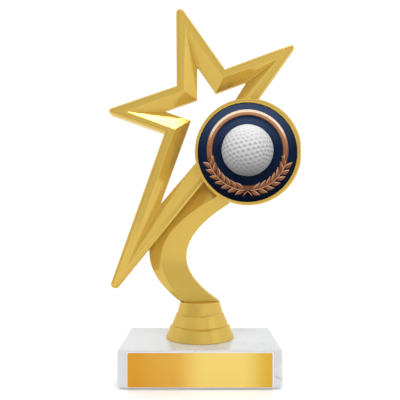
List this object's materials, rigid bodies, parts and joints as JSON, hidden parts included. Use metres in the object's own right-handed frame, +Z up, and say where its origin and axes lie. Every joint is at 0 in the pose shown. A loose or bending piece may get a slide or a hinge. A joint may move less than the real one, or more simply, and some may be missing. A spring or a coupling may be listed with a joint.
{
  "type": "star trophy",
  "caption": "Tall star trophy: open gold star and round sports insert on a curved stem, stepped riser and veined marble block with a blank plate.",
  "frame": {"origin": "centre of the underside of the felt pad, on the surface the trophy stands on", "axes": "+Z up, the nameplate and the insert face -Y, the star leans towards +X"},
  "size_m": [0.0977, 0.0511, 0.1909],
  "materials": {
    "marble": "polished white marble with faint grey veins",
    "felt": "pale grey felt",
    "plate_gold": "satin gold anodised",
    "tape_white": "white adhesive foam",
    "gold": "metallised gold plastic, soft gloss",
    "navy": "dark blue enamel, satin",
    "bronze": "metallised bronze relief, brushed",
    "ball_white": "white, satin, dimpled",
    "steel": "zinc plated",
    "brass_part": "machined"
  },
  "bodies": {
    "root": {"marble_base": "marble", "base_pad": "felt", "nameplate": "plate_gold", "nameplate_tape": "tape_white", "riser": "gold", "stem": "gold", "star_frame": "gold", "holder_cup": "gold", "insert_tape": "tape_white", "insert_disc": "navy", "insert_ring": "bronze", "laurel_left": "bronze", "laurel_right": "bronze", "golf_ball": "ball_white", "threaded_rod": "steel", "threaded_insert": "brass_part", "flat_washer": "steel", "spring_washer": "steel", "clamp_nut": "steel", "location_pins": "steel"}
  },
  "joints": []
}
